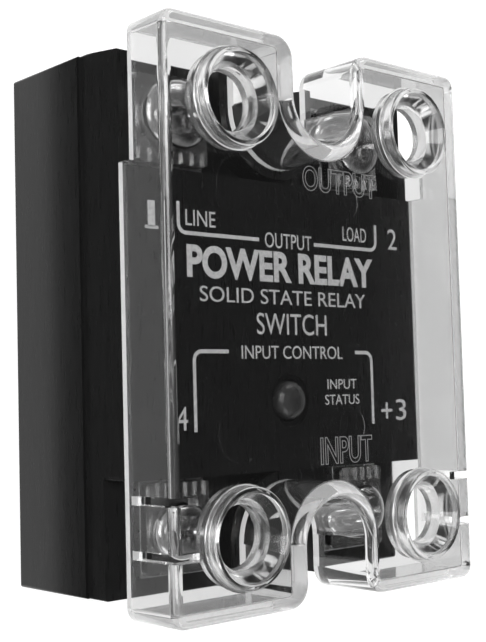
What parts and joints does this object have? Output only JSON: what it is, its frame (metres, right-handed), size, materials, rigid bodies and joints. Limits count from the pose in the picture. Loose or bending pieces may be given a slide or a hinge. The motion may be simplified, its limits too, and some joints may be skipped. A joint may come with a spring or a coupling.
{
  "type": "solid state relay",
  "caption": "Panel-mount solid state relay: black housing on a metal base, screw terminals at both ends, status light and a removable clear cover with screwdriver wells.",
  "frame": {"origin": "centre of the base plate's mounting face", "axes": "+Z out of the printed face, +Y towards the output terminals 1 and 2, +X towards terminals 2 and 3"},
  "size_m": [0.046, 0.0614, 0.0306],
  "materials": {
    "housing_plastic": "black glass-filled moulded plastic, fine satin texture",
    "clear_cover": "clear polycarbonate, polished",
    "base_metal": "machined and plated plate, fine lapped grain",
    "screw_nickel": "nickel-plated steel, bright",
    "washer_nickel": "nickel-plated stamped steel",
    "terminal_tin": "tin-plated copper strip, soft sheen",
    "nut_steel": "zinc-plated steel",
    "copper": "bright copper",
    "alumina": "white alumina, matt",
    "silicon": "dark passivated silicon, smooth",
    "gel": "translucent soft silicone",
    "board_laminate": "green solder mask on glass epoxy",
    "component_epoxy": "black moulded epoxy",
    "resistor_coat": "tan cement coat",
    "capacitor_case": "ochre box case",
    "varistor_coat": "blue dipped epoxy",
    "led_lens": "water-clear moulded epoxy lens"
  },
  "bodies": {
    "relay_body": {"base_plate": "base_metal", "housing": "housing_plastic", "status_led": "led_lens", "terminal_1": "terminal_tin", "terminal_nut_1": "nut_steel", "terminal_2": "terminal_tin", "terminal_nut_2": "nut_steel", "terminal_3": "terminal_tin", "terminal_nut_3": "nut_steel", "terminal_4": "terminal_tin", "terminal_nut_4": "nut_steel", "ceramic_substrate": "alumina", "copper_pad_a": "copper", "thyristor_die_a": "silicon", "die_strap_a": "copper", "gate_lead_a": "copper", "copper_pad_b": "copper", "thyristor_die_b": "silicon", "die_strap_b": "copper", "gate_lead_b": "copper", "potting_gel": "gel", "control_board": "board_laminate", "optocoupler": "component_epoxy", "control_transistor": "component_epoxy", "protection_diode": "component_epoxy", "input_resistor": "resistor_coat", "bias_resistor": "resistor_coat", "gate_resistor_a": "resistor_coat", "gate_resistor_b": "resistor_coat", "snubber_capacitor": "capacitor_case", "varistor": "varistor_coat"},
    "cover": {"cover": "clear_cover"},
    "clamp_1": {"clamp_washer_1": "washer_nickel"},
    "screw_1": {"terminal_screw_1": "screw_nickel"},
    "clamp_2": {"clamp_washer_2": "washer_nickel"},
    "screw_2": {"terminal_screw_2": "screw_nickel"},
    "clamp_3": {"clamp_washer_3": "washer_nickel"},
    "screw_3": {"terminal_screw_3": "screw_nickel"},
    "clamp_4": {"clamp_washer_4": "washer_nickel"},
    "screw_4": {"terminal_screw_4": "screw_nickel"}
  },
  "joints": [
    {"name": "cover_lift", "type": "slide", "parent": "relay_body", "child": "cover", "axis": [0, 0, 1], "range_m": [0, 0.016]},
    {"name": "clamp_1_rise", "type": "slide", "parent": "relay_body", "child": "clamp_1", "axis": [0, 0, 1], "range_m": [0, 0.00317]},
    {"name": "screw_1_turn", "type": "hinge", "parent": "clamp_1", "child": "screw_1", "pos_m": [-0.014, 0.0225, 0.0189], "axis": [0, 0, 1], "range_deg": [0, 1440]},
    {"name": "clamp_2_rise", "type": "slide", "parent": "relay_body", "child": "clamp_2", "axis": [0, 0, 1], "range_m": [0, 0.00317]},
    {"name": "screw_2_turn", "type": "hinge", "parent": "clamp_2", "child": "screw_2", "pos_m": [0.014, 0.0225, 0.0189], "axis": [0, 0, 1], "range_deg": [0, 1440]},
    {"name": "clamp_3_rise", "type": "slide", "parent": "relay_body", "child": "clamp_3", "axis": [0, 0, 1], "range_m": [0, 0.00317]},
    {"name": "screw_3_turn", "type": "hinge", "parent": "clamp_3", "child": "screw_3", "pos_m": [0.014, -0.0225, 0.0189], "axis": [0, 0, 1], "range_deg": [0, 1440]},
    {"name": "clamp_4_rise", "type": "slide", "parent": "relay_body", "child": "clamp_4", "axis": [0, 0, 1], "range_m": [0, 0.00317]},
    {"name": "screw_4_turn", "type": "hinge", "parent": "clamp_4", "child": "screw_4", "pos_m": [-0.014, -0.0225, 0.0189], "axis": [0, 0, 1], "range_deg": [0, 1440]}
  ],
  "couplings": [
    {"joint": "screw_1_turn", "follows": "clamp_1_rise", "rad_per_m": 7915.8},
    {"joint": "screw_2_turn", "follows": "clamp_2_rise", "rad_per_m": 7915.8},
    {"joint": "screw_3_turn", "follows": "clamp_3_rise", "rad_per_m": 7915.8},
    {"joint": "screw_4_turn", "follows": "clamp_4_rise", "rad_per_m": 7915.8}
  ]
}
